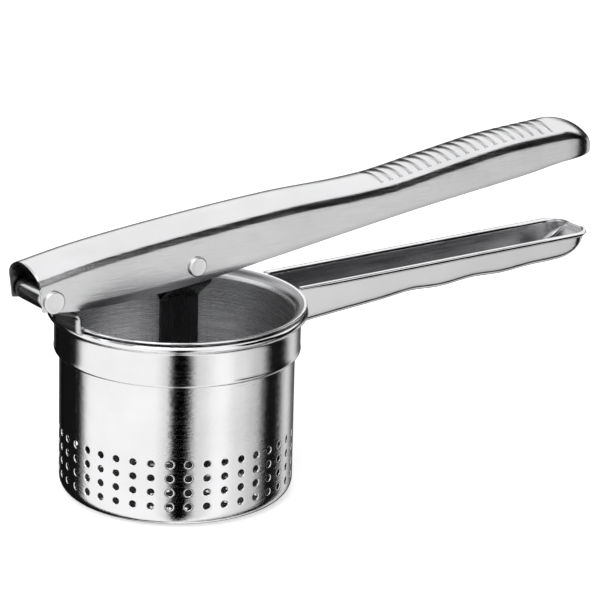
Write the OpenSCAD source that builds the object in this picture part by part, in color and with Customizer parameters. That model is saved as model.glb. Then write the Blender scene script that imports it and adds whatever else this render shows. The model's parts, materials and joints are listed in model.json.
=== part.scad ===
// Potato ricer: perforated basket in a ring with a trough handle, pressed by a hinged lever.
// The origin is the centre of the basket's underside, +X runs along the handles, +Z is up.

/* [Basket] */
// Outer diameter of the basket wall
basket_d = 85; // [84:0.5:86]
// Height of the basket, from its underside to the top of its lip
basket_h = 70.6; // [70.2:0.1:70.8]
// Thickness of the basket's sheet
basket_wall = 0.7; // [0.6:0.1:0.8]
// Outer diameter of the basket's turned-out lip
lip_d = 93; // [92.6:0.2:94]

/* [Holes] */
// Diameter of each punched hole
hole_d = 2.6; // [2:0.1:3]
// Columns of holes round the wall
hole_columns = 40; // [24:4:44]
// Rows of holes up the wall
hole_rows = 4; // [1:1:5]
// Distance between rows of holes
hole_pitch = 5.3; // [4.5:0.1:6]
// Height of the lowest row in the wall
hole_first_z = 8; // [7:0.5:10]

/* [Holder ring] */
// Outer diameter of the ring's band
band_d = 88.8; // [88.4:0.2:89.4]
// Thickness of the ring's sheet
band_wall = 1; // [0.8:0.1:1.1]
// Underside of the ring
band_low_z = 53; // [50:0.5:56]

/* [Lever] */
// Half of the lever's outer width
lever_half = 10.8; // [10.6:0.1:11.2]
// Thickness of the lever's sheet
lever_wall = 1; // [0.8:0.1:1.1]
// Where the lever's nose ends
lever_end_x = 186.3; // [185:0.1:188]

/* [Lower handle] */
// Half of the trough's outer width across its curled edges
trough_half = 12.4; // [12:0.1:13]
// Top of the trough's edges
trough_top_z = 71.2; // [71:0.1:72]
// Where the trough ends
trough_end_x = 184.3; // [183:0.1:186]
// Thickness of the trough's sheet
trough_wall = 1; // [0.8:0.1:1.2]

/* [Hinge and plunger] */
// Hinge rivet's place, along X
hinge_x = -58.3; // [-58.6:0.1:-58]
// Hinge rivet's height
hinge_z = 83.1; // [82.8:0.1:83.4]
// Diameter of the hinge rivet's shank
hinge_pin_d = 5; // [4:0.1:5.2]
// Plunger rivet's place, along X
plunger_x = 0.9; // [0.5:0.1:1.3]
// Plunger rivet's height
plunger_z = 86.4; // [86:0.1:86.8]
// Diameter of the plunger rivet's shank
plunger_pin_d = 4.4; // [4:0.1:5]
// Diameter of the pusher plate's rim
plate_d = 72.8; // [72:0.2:75]
// Height of the pusher plate's rim
plate_rim_z = 36.4; // [36:0.1:37]

/* [Hidden] */
$fn = 96;
cut = 1;             // how far a cutter runs past the surface it cuts
running = 0.05;      // radial clearance of a rivet in what turns on it

// Basket
basket_r = basket_d / 2;
basket_corner_r = 5;
lip_r = lip_d / 2;
lip_bend_r = 3.6;    // bend from the wall out to the lip
lip_edge_r = 0.2;    // eased edge of the lip
floor_first_r = 9;   // innermost ring of floor holes
floor_ring_gap = 5.6;
floor_rings = 5;
notch_half = 9.8;    // half width of the lip's notch for the hinge bracket
notch_x = -43.4;

// Holder ring
band_r = band_d / 2;
band_top_z = 69.1;
flange_r = 47;
flange_roll_r = 1.2;
bead_r = 1.3;
bead_in = 0.8;       // how far the bead's centre lies inside the band's face

// Hinge bracket
bracket_half = 9;
bracket_wall = 1.45;
knuckle_r = 4;
post_x = -46.4;      // middle of the bracket's upright
post_sunk = 0.15;    // how far the upright's foot sits in the ring's roll
bend_z = 75.4;       // height at which the upright and the sloping plate would meet
bend_cut = 2.2;      // length of each that the bend takes up

// Rivets
hinge_head_r = 4.05;
plunger_head_r = 3.65;
head_h = 1.1;
head_bevel = 0.35;

// Plunger
stem_half = 8;       // half of the stem's width
stem_wall = 0.8;
stem_fork_z = 72.6;  // where the two straps spread apart
stem_fork_h = 7;     // height over which they spread
ear_gap = 0.3;       // side play between an ear and the lever
ear_y = lever_half - lever_wall - ear_gap;
spacer_r = 3.4;
foot_y = 10;
plate_r = plate_d / 2;
plate_x = -0.5;
plate_depth = 12;
plate_floor_r = 29;
plate_wall = 1;
plate_roll_r = 1;

// Lever outline, as [x, height] along the top centre line and along the bottom edge
lever_top = [[-64.5, 95.4], [-41, 99], [-3.4, 102.6], [40.5, 105.3], [83, 105.9], [113, 109.9],
             [140, 113.6], [168, 115.5]];
lever_bottom = [[-64.5, 79.9], [-50, 78.2], [-31.5, 78.1], [0.5, 80], [33.5, 84.3], [97, 92.6],
                [151, 98.6], [168, 101], [190, 102]];
lever_crown = [[-64.5, 5], [10, 4.8], [54, 3.9], [80, 2.8], [130, 2.8], [168, 4.2]];
lever_nose_x = 168;
lever_nose_z = 101.5;
lever_lean = 1.8;    // how far the open end's lower corners sit back
shoulder_r = 3.2;

// Trough outline, as [x, height] along the underside
trough_bottom = [[40, 54.8], [51, 55.8], [66, 57], [85, 58.3], [99, 59.6], [113, 59], [128, 60.1],
                 [142, 59.6], [156, 60.4], [166, 60.5], [172, 60.9], [176, 62], [179.5, 64.1],
                 [182.3, 67.2], [184.3, 70]];
trough_wall_y = 10.2;
trough_floor_y = 7.4;
trough_fillet = 3;
bow_length = 9;      // length over which the trough's end rounds off in plan
bow_power = 2.3;

// Height of a smooth curve through points at x (Catmull-Rom slopes)
function span(p, x, i = 0) = (i >= len(p) - 2 || x <= p[i + 1][0]) ? i : span(p, x, i + 1);
function slope(p, i) = let(a = max(i - 1, 0), b = min(i + 1, len(p) - 1))
    (p[b][1] - p[a][1]) / (p[b][0] - p[a][0]);
function curve(p, x) = let(i = span(p, x), w = p[i + 1][0] - p[i][0])
    let(t = min(max((x - p[i][0]) / w, 0), 1))
    (2 * t ^ 3 - 3 * t ^ 2 + 1) * p[i][1] + (t ^ 3 - 2 * t ^ 2 + t) * w * slope(p, i)
    + (3 * t ^ 2 - 2 * t ^ 3) * p[i + 1][1] + (t ^ 3 - t ^ 2) * w * slope(p, i + 1);

function arc(c, r, from, to, n) = [for (i = [0:n]) let(a = from + (to - from) * i / n)
    c + r * [cos(a), sin(a)]];

// Closed sheet between two rows of section lines that have the same number of points
module sheet(outer, inner) {
    m = len(outer[0]);
    s = len(outer);
    points = [for (k = [0:s - 1]) each concat(outer[k], inner[k])];
    function o(k, i) = k * 2 * m + i;
    function n(k, i) = k * 2 * m + m + i;
    function quad(a, b, c, d) = [[a, b, c], [a, c, d]];
    faces = [for (f = [
        for (k = [0:s - 2], i = [0:m - 2]) quad(o(k, i), o(k, i + 1), o(k + 1, i + 1), o(k + 1, i)),
        for (k = [0:s - 2], i = [0:m - 2]) quad(n(k, i), n(k + 1, i), n(k + 1, i + 1), n(k, i + 1)),
        for (k = [0:s - 2]) quad(o(k, 0), o(k + 1, 0), n(k + 1, 0), n(k, 0)),
        for (k = [0:s - 2]) quad(o(k, m - 1), n(k, m - 1), n(k + 1, m - 1), o(k + 1, m - 1)),
        for (i = [0:m - 2]) quad(o(0, i), n(0, i), n(0, i + 1), o(0, i + 1)),
        for (i = [0:m - 2]) quad(o(s - 1, i), o(s - 1, i + 1), n(s - 1, i + 1), n(s - 1, i))
    ]) each f];
    polyhedron(points, faces, convexity = 6);
}

// Basket: drawn cup, lip, punched wall and floor
module basket_profile() {
    inner_r = basket_r - basket_wall;
    bend = [basket_r + lip_bend_r, basket_h - basket_wall - lip_bend_r];
    polygon(concat(
        [[0, 0]],
        arc([basket_r - basket_corner_r, basket_corner_r], basket_corner_r, -90, 0, 8),
        arc(bend, lip_bend_r, 180, 90, 6),
        [[lip_r - lip_edge_r, basket_h - basket_wall]],
        [[lip_r, basket_h - basket_wall + lip_edge_r]],
        [[lip_r, basket_h - lip_edge_r]],
        [[lip_r - lip_edge_r, basket_h]],
        arc(bend, lip_bend_r + basket_wall, 90, 180, 6),
        arc([inner_r - basket_corner_r + basket_wall, basket_corner_r], basket_corner_r - basket_wall,
            0, -90, 8),
        [[0, basket_wall]]
    ));
}

module wall_holes() {
    for (i = [0:hole_columns - 1], k = [0:hole_rows - 1])
        rotate([0, 0, i * 360 / hole_columns])
            translate([basket_r - basket_wall / 2, 0, hole_first_z + k * hole_pitch])
                rotate([0, 90, 0])
                    cylinder(h = basket_wall + 2 * cut, d = hole_d, center = true, $fn = 16);
}

module floor_holes() {
    for (k = [0:floor_rings - 1])
        let(r = floor_first_r + k * floor_ring_gap, count = 10 + 6 * k)
            for (i = [0:count - 1])
                rotate([0, 0, i * 360 / count])
                    translate([r, 0, -cut])
                        cylinder(h = basket_wall + 2 * cut, d = hole_d, $fn = 16);
}

module basket() {
    color("gainsboro")
        difference() {
            rotate_extrude() basket_profile();
            wall_holes();
            floor_holes();
            translate([-lip_r - cut, -notch_half, basket_h - lip_bend_r - basket_wall])
                cube([lip_r + cut + notch_x, 2 * notch_half, lip_bend_r + basket_wall + cut]);
        }
}

// Holder ring: band with a rolled flange on top and a bead at the bottom
module ring_profile() {
    low = band_low_z;
    flange_z = band_top_z - flange_roll_r;
    inner_r = band_r - band_wall;
    polygon(concat(
        [[inner_r, low]],
        arc([band_r - bead_in, low + bead_r], bead_r, -90, 50, 8),
        [[band_r, low + 2 * bead_r + 0.3]],
        [[band_r, flange_z - 1.4]],
        arc([flange_r - flange_roll_r, flange_z], flange_roll_r, -90, 90, 8),
        [[inner_r + 0.8, band_top_z]],
        [[inner_r, band_top_z - 0.7]]
    ));
}

module holder_ring() {
    color("silver")
        rotate_extrude() ring_profile();
}

// Hinge bracket: upright on the ring, bend, sloping plate and curled knuckle
function side_of(p, i) = let(d = p[min(i + 1, len(p) - 1)] - p[max(i - 1, 0)]) [-d[1], d[0]] / norm(d);

module strip(path, t) {
    last = len(path) - 1;
    polygon(concat([for (i = [0:last]) path[i] + side_of(path, i) * t / 2],
                   [for (i = [last:-1:0]) path[i] - side_of(path, i) * t / 2]));
}

module hinge_bracket() {
    corner = [post_x, bend_z];
    pin = [hinge_x, hinge_z];
    to_pin = pin - corner;
    curl_r = knuckle_r - bracket_wall / 2;
    rise = atan2(to_pin[1], to_pin[0]) + asin(curl_r / norm(to_pin));
    plate = [cos(rise), sin(rise)];
    bend = [for (t = [0:0.125:1]) corner + bend_cut * (t ^ 2 * plate - [0, (1 - t) ^ 2])];
    color("darkgray")
        rotate([90, 0, 0]) {
            linear_extrude(2 * bracket_half, center = true)
                strip(concat([[post_x, band_top_z - post_sunk]], bend,
                             [pin + curl_r * [-plate[1], plate[0]] - plate]), bracket_wall);
            translate(pin)
                difference() {
                    cylinder(h = 2 * bracket_half, r = knuckle_r, center = true);
                    cylinder(h = 2 * bracket_half + cut, d = hinge_pin_d + 2 * running, center = true);
                }
        }
}

// Lever: inverted channel with a crowned top, open at the hinge end and closed at the nose
function nose(x, end) = x <= lever_nose_x ? 1
    : sqrt(max(1 - ((x - lever_nose_x) / (end - lever_nose_x)) ^ 2, 0));

function lever_half_line(w, zb, zt, crown) = let(
        r = (w ^ 2 + crown ^ 2) / (2 * crown),
        f = min(shoulder_r, w / 3),
        zs = zt - crown)
    [[w, zb], [w, zs - 0.6 * f], [w - 0.04 * f, zs - 0.25 * f], [w - 0.16 * f, zs + 0.02 * f],
     for (y = [0.9, 0.8, 0.66, 0.5, 0.32, 0.16]) [w * y, zt - (r - sqrt(r ^ 2 - (w * y) ^ 2))]];

function mirrored(half, top) = concat([for (p = half) [-p[0], p[1]]], [top],
    [for (i = [len(half) - 1:-1:0]) half[i]]);

function lever_line(x, inset) = let(
        e = nose(x, lever_end_x - inset),
        w = max((lever_half - inset) * e, 0.4),
        zb = curve(lever_bottom, x),
        zt = max(lever_nose_z + (curve(lever_top, x) - inset - lever_nose_z) * e, zb + 0.8),
        crown = min(curve(lever_crown, x) * max(e, 0.2), (zt - zb) / 2, w / 2))
    [for (p = mirrored(lever_half_line(w, zb, zt, crown), [0, zt]))
        [x + (x == lever_top[0][0] ? lever_lean * (zt - p[1]) / (zt - zb) : 0), p[0], p[1]]];

function lever_floor_line(x, count) = let(w = max((lever_half - lever_wall) * nose(x, lever_end_x), 0.3))
    [for (i = [0:count - 1]) [x, -w + 2 * w * i / (count - 1), curve(lever_bottom, x)]];

module upper_handle() {
    inner_end = lever_end_x - 2 * lever_wall;
    stations = [-64.5, -57, -48, -38, -28, -16, -4, 8, 20, 32, 44, 56, 68, 76, 84, 92, 100, 108, 116,
                124, 132, 140, 150, 160, 168, 172.5, 176, 179, 181.5, inner_end - 0.8];
    solid_stations = [inner_end, lever_end_x - 1.2, lever_end_x - 0.6];
    count = len(lever_line(0, 0));
    color("lightgray")
        difference() {
            sheet(
                [for (x = concat(stations, solid_stations)) lever_line(x, 0)],
                concat([for (x = stations) lever_line(x, lever_wall)],
                       [for (x = solid_stations) lever_floor_line(x, count)]));
            translate([hinge_x, 0, hinge_z]) cross_bore(hinge_pin_d / 2 + running);
            translate([plunger_x, 0, plunger_z]) cross_bore(plunger_pin_d / 2 + running);
        }
}

module cross_bore(r) {
    rotate([90, 0, 0])
        cylinder(h = 2 * (lever_half + cut), r = r, center = true);
}

// Lower handle: trough whose end rises like a bow to a flat lip
function bow(x) = let(u = max(x - trough_end_x + bow_length, 0) / bow_length)
    (1 - u ^ bow_power) ^ (1 / bow_power);

function trough_half_line(x, side) = let(
        zb = min(curve(trough_bottom, x), trough_top_z - 1.3 * trough_wall) + side * trough_wall,
        zt = trough_top_z - (1 - side) * trough_wall,
        depth = zt - zb,
        f = min(trough_fillet, depth * 0.45),
        wall = trough_wall_y - side * trough_wall,
        low = trough_floor_y - side * trough_wall)
    [for (p = [[trough_half, zt], [wall + 0.5, zt], [wall, zt - 0.25 * f], [low + 0.4, zb + f],
               [low - 0.25 * f, zb + 0.3 * f], [low - f, zb], [low / 3, zb]]) [bow(x) * p[0], p[1]]];

function trough_start(y, z) = sqrt((z > band_top_z - 4 ? flange_r + 0.2 : band_r + running) ^ 2 - y ^ 2);

function trough_line(x, side) = [for (p = mirrored(trough_half_line(x, side), trough_half_line(x, side)[6]))
    [x == 0 ? trough_start(p[0], p[1]) : x, p[0], p[1]]];

module lower_handle() {
    stations = concat([0], [for (x = [51:7:156]) x], [161, 166, 170, 173.5, 176, 178, 179.8, 181.2],
                      [for (back = [2, 1.1, 0.4]) trough_end_x - back]);
    color("silver")
        sheet([for (x = stations) trough_line(x, 0)], [for (x = stations) trough_line(x, 1)]);
}

// Rivet across the lever with a flat, bevelled head on each side
module rivet(shank_r, head_r) {
    rotate([90, 0, 0]) {
        cylinder(h = 2 * lever_half, r = shank_r, center = true);
        for (s = [0, 1])
            mirror([0, 0, s])
                translate([0, 0, lever_half]) {
                    cylinder(h = head_h - head_bevel, r = head_r);
                    translate([0, 0, head_h - head_bevel])
                        cylinder(h = head_bevel, r1 = head_r, r2 = head_r - head_bevel);
                }
    }
}

module hinge_rivet() {
    color("whitesmoke")
        translate([hinge_x, 0, hinge_z]) rivet(hinge_pin_d / 2, hinge_head_r);
}

module plunger_rivet() {
    color("whitesmoke")
        translate([plunger_x, 0, plunger_z]) rivet(plunger_pin_d / 2, plunger_head_r);
}

// Spacer tube on the plunger rivet, between the stem's ears
module stem_spacer() {
    inner_r = plunger_pin_d / 2 + running;
    color("darkgray")
        translate([plunger_x, 0, plunger_z])
            rotate([90, 0, 0])
                difference() {
                    cylinder(h = 2 * (ear_y - stem_wall), r = spacer_r, center = true);
                    cylinder(h = 2 * ear_y + cut, r = inner_r, center = true);
                }
}

// One strap of the stem, seen along X: foot, upright, fork and ear
module strap_profile() {
    foot_z = plate_rim_z - plate_depth + plate_wall;
    top_z = plunger_z + stem_half;
    fork_top = stem_fork_z + stem_fork_h;
    polygon([[0, foot_z], [foot_y, foot_z], [foot_y, foot_z + stem_wall], [stem_wall, foot_z + stem_wall],
             [stem_wall, stem_fork_z - 0.4], [ear_y, fork_top - 0.4], [ear_y, top_z],
             [ear_y - stem_wall, top_z], [ear_y - stem_wall, fork_top], [0, stem_fork_z]]);
}

module stem_outline() {
    stem_x = plunger_x - 0.5;
    translate([stem_x, 0]) {
        translate([-stem_half, 0]) square([2 * stem_half, plunger_z]);
        translate([0, plunger_z]) circle(stem_half);
    }
}

module plunger_strap() {
    difference() {
        intersection() {
            rotate([90, 0, 90])
                linear_extrude(100, center = true) strap_profile();
            rotate([90, 0, 0])
                linear_extrude(100, center = true) stem_outline();
        }
        translate([plunger_x, 0, plunger_z]) cross_bore(plunger_pin_d / 2 + running);
    }
}

module plunger_stem_left() {
    color("dimgray") plunger_strap();
}

module plunger_stem_right() {
    color("dimgray") mirror([0, 1, 0]) plunger_strap();
}

// Pusher plate: shallow dish with a rolled rim
module pusher_plate() {
    color("gray")
        translate([plate_x, 0, plate_rim_z])
            rotate_extrude()
                polygon(concat(
                    [[0, -plate_depth], [plate_floor_r - 3, -plate_depth]],
                    arc([plate_floor_r - 3, -plate_depth + 4], 4, -90, -30, 4),
                    [[plate_r - 0.4, -1.2]],
                    arc([plate_r - plate_roll_r, 0], plate_roll_r, -40, 160, 8),
                    arc([plate_floor_r - 3, -plate_depth + 4], 4 - plate_wall, -30, -90, 4),
                    [[0, -plate_depth + plate_wall]]
                ));
}

basket();
holder_ring();
lower_handle();
hinge_bracket();
upper_handle();
hinge_rivet();
plunger_rivet();
stem_spacer();
plunger_stem_left();
plunger_stem_right();
pusher_plate();
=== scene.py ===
"""Potato ricer in polished and brushed stainless steel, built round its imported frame."""
import json
import math

import bmesh
import bpy
from mathutils import Matrix, Vector
from mathutils.geometry import tessellate_polygon


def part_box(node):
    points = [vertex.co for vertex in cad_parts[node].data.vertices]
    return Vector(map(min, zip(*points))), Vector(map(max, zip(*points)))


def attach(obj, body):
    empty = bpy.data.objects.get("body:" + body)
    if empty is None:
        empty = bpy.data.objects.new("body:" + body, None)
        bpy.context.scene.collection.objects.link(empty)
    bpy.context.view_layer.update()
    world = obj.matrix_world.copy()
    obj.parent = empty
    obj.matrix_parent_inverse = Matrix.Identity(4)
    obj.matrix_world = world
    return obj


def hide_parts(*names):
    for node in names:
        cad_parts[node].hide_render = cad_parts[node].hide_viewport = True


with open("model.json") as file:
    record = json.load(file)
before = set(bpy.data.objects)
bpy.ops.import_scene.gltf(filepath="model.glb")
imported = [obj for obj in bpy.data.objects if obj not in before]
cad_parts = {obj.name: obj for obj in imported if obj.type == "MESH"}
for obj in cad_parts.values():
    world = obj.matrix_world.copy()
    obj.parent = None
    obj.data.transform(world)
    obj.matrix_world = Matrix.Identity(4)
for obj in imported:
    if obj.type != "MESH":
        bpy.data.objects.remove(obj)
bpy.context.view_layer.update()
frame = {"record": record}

# ---------------------------------------------------------------- sizes, in millimetres
MM = 0.001


def node_box(node):
    """Low and high corner of a CAD node's box, in millimetres."""
    low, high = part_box(node)
    return [c / MM for c in low], [c / MM for c in high]


_, BASKET_HIGH = node_box("basket")
RING_LOW, RING_HIGH = node_box("holder_ring")
LEVER_LOW, LEVER_HIGH = node_box("upper_handle")
_, TROUGH_HIGH = node_box("lower_handle")
PLATE_LOW, PLATE_HIGH = node_box("pusher_plate")
JOINTS = {j["name"]: j for j in frame["record"]["behaviour"]["joints"]}
HINGE_X, _, HINGE_Z = [c / MM for c in JOINTS["lever_hinge"]["pos_m"]]
PLUNGER_X, _, PLUNGER_Z = [c / MM for c in JOINTS["plunger_pivot"]["pos_m"]]

# Basket
BASKET_R = 42.5
BASKET_WALL = 0.7
BASKET_CORNER_R = 5
LIP_R = BASKET_HIGH[0]
LIP_Z = BASKET_HIGH[2]
LIP_BEND_R = 3.6
HOLE_R = 1.3
HOLE_COLUMNS = 40
HOLE_ROWS = 4
HOLE_PITCH = 5.3
HOLE_FIRST_Z = 8
HOLE_SIDES = 16
WALL_ROWS = (35, 45, 55, 62)
FLOOR_RINGS = [(9 + 5.6 * k, 10 + 6 * k) for k in range(5)]
NOTCH_HALF = 9.8
NOTCH_X = -(BASKET_R + 0.9)
NOTCH_REACH = 6

# Holder ring
BAND_R = 44.4
BAND_WALL = 1
BAND_LOW_Z = RING_LOW[2]
BAND_TOP_Z = RING_HIGH[2]
BEAD_R = 1.3
FLARE_Z = 65
FLARE_R = 1.2
FLANGE_R = 47
FLANGE_EDGE_R = 1.3

# Lever
LEVER_HALF = LEVER_HIGH[1]
LEVER_WALL = 1
LEVER_X0 = LEVER_LOW[0]
LEVER_X1 = LEVER_HIGH[0]
LEVER_NOSE_X = 168
LEVER_NOSE_Z = 101.5
LEVER_NOSE_WIDTH_POWER = 2.4
LEVER_LEAN = 1.8
LEVER_LEAN_LENGTH = 12
LEVER_EDGE = 0.3
SHOULDER_R = 5
LEVER_TOP = [(-64.5, 95.4), (-41, 99), (-3.4, 102.6), (40.5, 105.3), (83, 105.9), (113, 109.9),
             (140, 113.6), (168, 115.5)]
LEVER_BOTTOM = [(-64.5, 79.9), (-50, 78.2), (-31.5, 78.1), (0.5, 80), (33.5, 84.3), (97, 92.6),
                (151, 98.6), (168, 101), (190, 102)]
LEVER_CROWN = [(-64.5, 5), (10, 4.8), (54, 3.9), (80, 2.8), (130, 2.8), (168, 4.2)]
RIB_X0 = 80
RIB_PITCH = 4.4
RIBS = 20
RIB_DEPTH = 0.75
RIB_POWER = 2.4

# Lower handle
TROUGH_TOP_Z = TROUGH_HIGH[2]
TROUGH_HALF = TROUGH_HIGH[1]
TROUGH_X1 = TROUGH_HIGH[0]
TROUGH_BOTTOM = [(40, 54.8), (51, 55.8), (66, 57), (85, 58.3), (99, 59.6), (113, 59), (128, 60.1),
                 (142, 59.6), (156, 60.4), (166, 60.5), (172, 60.9), (176, 62), (179.5, 64.1),
                 (182.3, 67.2), (183.5, 69.8), (184.3, 71)]
BOW_LENGTH = 9
BOW_POWER = 2.3
TROUGH_WALL = 0.8
TROUGH_FLANGE = 2.4
TROUGH_LEAN = 2.2
TROUGH_FLANGE_R = 0.8
TROUGH_FLOOR_R = 3.2
TROUGH_START_X = 50
WELD_GAP = 0.06

# Hinge bracket
BRACKET_WALL = 1.45
BRACKET_HALF = 9
POST_X = -46.4
BEND_Z = 75.4
BEND_CUT = 2.2
KNUCKLE_R = 4 - BRACKET_WALL / 2

# Rivets and spacer
ROUND_SIDES = 48
HEAD_H = 1.08
HEAD_EDGE_R = 0.42
SPACER_R = 3.4
SPACER_BORE_R = 2.25
SPACER_EDGE = 0.2

# Plunger
STEM_HALF = 8
STEM_WALL = 0.8
FORK_Z = 72.6
FORK_H = 7
FOOT_Y = 9.9
STRAP_BEND_R = 1.6
EAR_Y = LEVER_HALF - LEVER_WALL - 0.3
PLATE_X = (PLATE_LOW[0] + PLATE_HIGH[0]) / 2
PLATE_R = (PLATE_HIGH[0] - PLATE_LOW[0]) / 2
PLATE_RIM_Z = PLATE_HIGH[2] - 1
PLATE_DEPTH = 12
PLATE_WALL = 1
PLATE_FLOOR_R = 29
PLATE_CORNER_R = 4


# ---------------------------------------------------------------- curves and meshes
def curve(points, x):
    """Height at x of a smooth curve through the points (Catmull-Rom slopes)."""
    last = len(points) - 1
    i = 0
    while i < last - 1 and x > points[i + 1][0]:
        i += 1

    def slope(k):
        a, b = points[max(k - 1, 0)], points[min(k + 1, last)]
        return (b[1] - a[1]) / (b[0] - a[0])

    (x0, z0), (x1, z1) = points[i], points[i + 1]
    w = x1 - x0
    t = min(max((x - x0) / w, 0), 1)
    return ((2 * t ** 3 - 3 * t ** 2 + 1) * z0 + (t ** 3 - 2 * t ** 2 + t) * w * slope(i)
            + (3 * t ** 2 - 2 * t ** 3) * z1 + (t ** 3 - t ** 2) * w * slope(i + 1))


def arc(cx, cy, r, start, end, n):
    """Points on an arc, angles in degrees."""
    angles = [math.radians(start + (end - start) * i / n) for i in range(n + 1)]
    return [(cx + r * math.cos(a), cy + r * math.sin(a)) for a in angles]


def smooth_step(low, high, x):
    """0 below low, 1 above high, and a soft rise between them."""
    t = min(max((x - low) / (high - low), 0), 1)
    return t * t * (3 - 2 * t)


def mix(a, b, t):
    """Point a share t of the way from a to b."""
    return tuple(p + (q - p) * t for p, q in zip(a, b))


def thicken(path, t, cap=3):
    """Closed outline of a sheet of thickness t along a 2-D path, with rounded ends.

    Point i lies opposite point N - 1 - i, so a flat end can be closed by quads."""
    n = len(path)
    left, right = [], []
    for i, p in enumerate(path):
        a, b = path[max(i - 1, 0)], path[min(i + 1, n - 1)]
        dx, dy = b[0] - a[0], b[1] - a[1]
        length = math.hypot(dx, dy) or 1
        nx, ny = -dy / length * t / 2, dx / length * t / 2
        left.append((p[0] + nx, p[1] + ny))
        right.append((p[0] - nx, p[1] - ny))

    def end(p, q, ahead):
        """Half of the rounded end, from side p to the middle."""
        mx, my = (p[0] + q[0]) / 2, (p[1] + q[1]) / 2
        hx, hy = p[0] - mx, p[1] - my
        tx, ty = (hy, -hx) if ahead else (-hy, hx)
        angles = [math.radians(90 * (k + 0.5) / cap) for k in range(cap)]
        return [(mx + hx * math.cos(a) + tx * math.sin(a), my + hy * math.cos(a) + ty * math.sin(a))
                for a in angles]

    start_left = end(left[0], right[0], False)[::-1]
    start_right = end(right[0], left[0], True)
    end_left = end(left[-1], right[-1], True)
    end_right = end(right[-1], left[-1], False)[::-1]
    return start_left + left + end_left + end_right + right[::-1] + start_right


def quarter(n):
    """Angles of n even steps from 0 to a right angle."""
    return [math.pi / 2 * k / n for k in range(n + 1)]


def make_object(name, verts, faces, sharp=35):
    """Smooth-shaded object from points in millimetres; edges over the sharp angle stay crisp."""
    mesh = bpy.data.meshes.new(name)
    mesh.from_pydata([[c * MM for c in v] for v in verts], [], faces)
    bm = bmesh.new()
    bm.from_mesh(mesh)
    bmesh.ops.remove_doubles(bm, verts=bm.verts, dist=1e-6)
    bmesh.ops.recalc_face_normals(bm, faces=bm.faces)
    bm.to_mesh(mesh)
    bm.free()
    mesh.shade_smooth()
    mesh.set_sharp_from_angle(angle=math.radians(sharp))
    obj = bpy.data.objects.new(name, mesh)
    bpy.context.scene.collection.objects.link(obj)
    return obj


def grid_faces(rows, columns, close=False):
    """Quads between rows that each close on themselves; close also joins the last row to the first."""
    faces = []
    for i in range(rows if close else rows - 1):
        ahead = (i + 1) % rows
        for j in range(columns):
            k = (j + 1) % columns
            faces.append((i * columns + j, i * columns + k, ahead * columns + k, ahead * columns + j))
    return faces


def loft(loops):
    """Skin through closed loops whose point i lies opposite point N - 1 - i; both ends are closed."""
    n = len(loops[0])
    verts = [p for loop in loops for p in loop]
    faces = grid_faces(len(loops), n)
    for base in (0, (len(loops) - 1) * n):
        for i in range(n // 2 - 1):
            faces.append((base + i, base + i + 1, base + n - 2 - i, base + n - 1 - i))
    return verts, faces


def revolved(name, profile, angles, cx=0):
    """Closed profile of (r, z) turned about the vertical axis at cx, over the given angles."""
    verts = []
    for r, z in profile:
        verts += [(cx + r * math.cos(a), r * math.sin(a), z) for a in angles]
    return make_object(name, verts, grid_faces(len(profile), len(angles), close=True))


def full_turn(n):
    """Angles of n even steps round a circle."""
    return [2 * math.pi * i / n for i in range(n)]


# ---------------------------------------------------------------- materials
def add_node(nodes, kind, **inputs):
    """New shader node with values on the inputs named, where an underscore stands for a space."""
    node = nodes.new(kind)
    for name, value in inputs.items():
        node.inputs[name.replace("_", " ")].default_value = value
    return node


def scaled(nodes, links, colour, factor):
    """Colour, or a socket that holds one, multiplied by the factor's socket."""
    node = nodes.new("ShaderNodeVectorMath")
    node.operation = "SCALE"
    if isinstance(colour, tuple):
        node.inputs[0].default_value = colour
    else:
        links.new(colour, node.inputs[0])
    links.new(factor, node.inputs["Scale"])
    return node.outputs["Vector"]


def add_brushing(nodes, links, coords, directions):
    """Fine brushed bumps on top of one another; returns the normal and the first brushing's noise."""
    normal = None
    first_noise = None
    for kind, scale, strength in directions:
        noise = add_node(nodes, "ShaderNodeTexNoise", Scale=1, Detail=3, Roughness=0.6)
        links.new(brushing_space(nodes, links, coords, kind, scale), noise.inputs["Vector"])
        bump = add_node(nodes, "ShaderNodeBump", Strength=strength, Distance=BRUSH_DEPTH)
        links.new(noise.outputs["Fac"], bump.inputs["Height"])
        if normal:
            links.new(normal, bump.inputs["Normal"])
        normal = bump.outputs["Normal"]
        first_noise = first_noise or noise.outputs["Fac"]
    return normal, first_noise


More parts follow.
